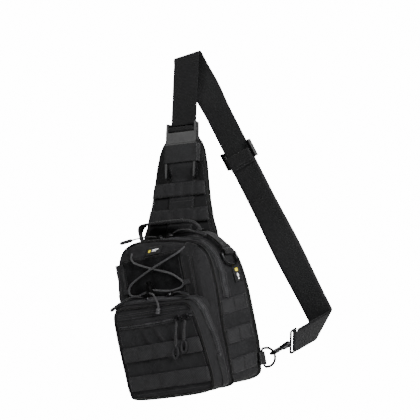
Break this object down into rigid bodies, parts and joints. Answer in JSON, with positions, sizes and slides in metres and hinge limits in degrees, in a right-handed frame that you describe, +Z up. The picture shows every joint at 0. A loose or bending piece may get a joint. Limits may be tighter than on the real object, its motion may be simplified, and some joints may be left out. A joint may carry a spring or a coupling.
{
  "type": "sling bag",
  "caption": "Single-strap sling bag with a padded neck, webbing rows, zipped front pocket, crossed elastic cord, D-rings, side-release buckle and an adjustable strap on a swivel hook.",
  "frame": {"origin": "middle of the top fold of the shoulder strap, where the bag hangs", "axes": "+Z up against gravity; the bag faces -Y; +X to its right as seen from the front; the body hangs tilted by 13 degrees about Y"},
  "size_m": [0.3515, 0.238, 0.6101],
  "materials": {
    "shell_fabric": "matt woven polyester, black",
    "webbing": "ribbed black webbing",
    "plastic": "satin black moulding",
    "black_metal": "black coated metal",
    "zip_teeth": "black coil on black tape",
    "cord_fabric": "dark grey braid"
  },
  "bodies": {
    "bag": {"back_panel": "shell_fabric", "buckle_female": "plastic", "buckle_keeper": "webbing", "buckle_male": "plastic", "bungee_cord": "cord_fabric", "bungee_tail": "cord_fabric", "cord_lock_body": "plastic", "cord_lock_spring": "black_metal", "front_pocket": "shell_fabric", "front_strip_left": "webbing", "front_strip_right": "webbing", "hook_eye": "black_metal", "label_patch": "webbing", "loop_panel": "shell_fabric", "main_compartment": "shell_fabric", "main_zip_chain": "zip_teeth", "neck_anchor_webbing": "webbing", "neck_panel": "shell_fabric", "neck_webbing_lower": "webbing", "neck_webbing_upper": "webbing", "pocket_webbing_lower": "webbing", "pocket_webbing_upper": "webbing", "pocket_zip_chain": "zip_teeth", "ring_tab_lower_left": "webbing", "ring_tab_lower_right": "webbing", "ring_tab_upper_left": "webbing", "ring_tab_upper_right": "webbing", "shoulder_strap": "webbing", "side_label": "webbing", "side_webbing_left": "webbing", "side_webbing_right": "webbing", "small_zip_chain": "zip_teeth", "strap_second_layer": "webbing"},
    "carry_handle": {"carry_handle": "webbing"},
    "main_left_slider": {"main_left_slider": "black_metal"},
    "main_left_pull": {"main_left_pull": "cord_fabric"},
    "main_right_slider": {"main_right_slider": "black_metal"},
    "main_right_pull": {"main_right_pull": "cord_fabric"},
    "pocket_left_slider": {"pocket_left_slider": "black_metal"},
    "pocket_left_pull": {"pocket_left_pull": "cord_fabric"},
    "pocket_right_slider": {"pocket_right_slider": "black_metal"},
    "pocket_right_pull": {"pocket_right_pull": "cord_fabric"},
    "small_left_slider": {"small_left_slider": "black_metal"},
    "small_left_pull": {"small_left_pull": "cord_fabric"},
    "small_right_slider": {"small_right_slider": "black_metal"},
    "small_right_pull": {"small_right_pull": "cord_fabric"},
    "d_ring_upper_right": {"d_ring_upper_right": "black_metal"},
    "d_ring_upper_left": {"d_ring_upper_left": "black_metal"},
    "d_ring_lower_right": {"d_ring_lower_right": "black_metal"},
    "d_ring_lower_left": {"d_ring_lower_left": "black_metal"},
    "buckle_arm_right": {"buckle_arm_right": "plastic"},
    "buckle_arm_left": {"buckle_arm_left": "plastic"},
    "cord_lock_button": {"cord_lock_button": "plastic"},
    "tri_glide": {"tri_glide": "plastic", "adjuster_loop": "webbing"},
    "hook_body": {"hook_body": "black_metal", "hook_spring": "black_metal"},
    "hook_bolt": {"hook_bolt": "black_metal"}
  },
  "joints": [
    {"name": "handle_sway", "type": "hinge", "parent": "bag", "child": "carry_handle", "pos_m": [0.00953, -0.065, -0.31656], "axis": [0.9744, 0, 0.225], "range_deg": [-6, 3]},
    {"name": "main_left_slide", "type": "slide", "parent": "bag", "child": "main_left_slider", "axis": [0.9744, 0, 0.225], "range_m": [-0.03, 0]},
    {"name": "main_right_slide", "type": "slide", "parent": "bag", "child": "main_right_slider", "axis": [0.9744, 0, 0.225], "range_m": [0, 0.024]},
    {"name": "pocket_left_slide", "type": "slide", "parent": "bag", "child": "pocket_left_slider", "axis": [0.9744, 0, 0.225], "range_m": [-0.036, 0]},
    {"name": "pocket_right_slide", "type": "slide", "parent": "bag", "child": "pocket_right_slider", "axis": [0.9744, 0, 0.225], "range_m": [0, 0.024]},
    {"name": "small_left_slide", "type": "slide", "parent": "bag", "child": "small_left_slider", "axis": [0.9744, 0, 0.225], "range_m": [-0.118, 0]},
    {"name": "small_right_slide", "type": "slide", "parent": "bag", "child": "small_right_slider", "axis": [0.9744, 0, 0.225], "range_m": [0, 0.008]},
    {"name": "main_left_pull_swing", "type": "hinge", "parent": "main_left_slider", "child": "main_left_pull", "pos_m": [-0.00415, -0.083, -0.31735], "axis": [0, 1, 0], "range_deg": [0, 90]},
    {"name": "main_right_pull_swing", "type": "hinge", "parent": "main_right_slider", "child": "main_right_pull", "pos_m": [0.02801, -0.083, -0.30993], "axis": [0, -1, 0], "range_deg": [0, 90]},
    {"name": "pocket_left_pull_swing", "type": "hinge", "parent": "pocket_left_slider", "child": "pocket_left_pull", "pos_m": [0.00813, -0.134, -0.41941], "axis": [-0.225, 0, 0.9744], "range_deg": [0, 70]},
    {"name": "pocket_right_pull_swing", "type": "hinge", "parent": "pocket_right_slider", "child": "pocket_right_pull", "pos_m": [0.06659, -0.134, -0.40591], "axis": [0.225, 0, -0.9744], "range_deg": [0, 70]},
    {"name": "small_left_pull_swing", "type": "hinge", "parent": "small_left_slider", "child": "small_left_pull", "pos_m": [0.0912, -0.1559, -0.44805], "axis": [-0.9744, 0, -0.225], "range_deg": [0, 75]},
    {"name": "small_right_pull_swing", "type": "hinge", "parent": "small_right_slider", "child": "small_right_pull", "pos_m": [0.10874, -0.1559, -0.444], "axis": [-0.9744, 0, -0.225], "range_deg": [0, 75]},
    {"name": "ring_upper_right_swing", "type": "hinge", "parent": "bag", "child": "d_ring_upper_right", "pos_m": [0.12971, -0.061, -0.33704], "axis": [-0.1726, -0.9842, -0.0399], "range_deg": [0, 110]},
    {"name": "ring_upper_left_swing", "type": "hinge", "parent": "bag", "child": "d_ring_upper_left", "pos_m": [-0.08952, -0.061, -0.38766], "axis": [-0.1726, 0.9842, -0.0399], "range_deg": [0, 110]},
    {"name": "ring_lower_right_swing", "type": "hinge", "parent": "bag", "child": "d_ring_lower_right", "pos_m": [0.18527, -0.036, -0.51768], "axis": [-0.225, 0, 0.9744], "range_deg": [-3, 3]},
    {"name": "ring_lower_left_swing", "type": "hinge", "parent": "bag", "child": "d_ring_lower_left", "pos_m": [-0.06132, -0.037, -0.57871], "axis": [-0.225, 0, 0.9744], "range_deg": [-60, 45]},
    {"name": "buckle_arm_right_squeeze", "type": "hinge", "parent": "bag", "child": "buckle_arm_right", "pos_m": [0.01653, -0.01319, -0.15551], "axis": [-0.11, 0.9644, -0.2406], "range_deg": [0, 8], "stiffness_Nm_per_rad": 0.4, "springref_deg": -2.86},
    {"name": "buckle_arm_left_squeeze", "type": "hinge", "parent": "bag", "child": "buckle_arm_left", "pos_m": [-0.01695, -0.01789, -0.15906], "axis": [0.11, -0.9644, 0.2406], "range_deg": [0, 8], "stiffness_Nm_per_rad": 0.4, "springref_deg": -2.86},
    {"name": "cord_lock_press", "type": "slide", "parent": "bag", "child": "cord_lock_button", "axis": [0.225, 0, -0.9744], "range_m": [0, 0.0022], "stiffness_N_per_m": 500, "springref_m": -0.002, "deforming": ["cord_lock_spring"]},
    {"name": "glide_slide", "type": "slide", "parent": "bag", "child": "tri_glide", "axis": [0.4474, 0.1404, -0.8833], "range_m": [-0.06, 0.06]},
    {"name": "hook_swivel", "type": "hinge", "parent": "bag", "child": "hook_body", "pos_m": [0.20522, 0.00879, -0.49916], "axis": [-0.4059, -0.8303, -0.3818], "range_deg": [-20, 20]},
    {"name": "bolt_slide", "type": "slide", "parent": "hook_body", "child": "hook_bolt", "axis": [0.4059, 0.8303, 0.3818], "range_m": [0, 0.005], "stiffness_N_per_m": 200, "springref_m": -0.004, "deforming": ["hook_spring"]}
  ]
}
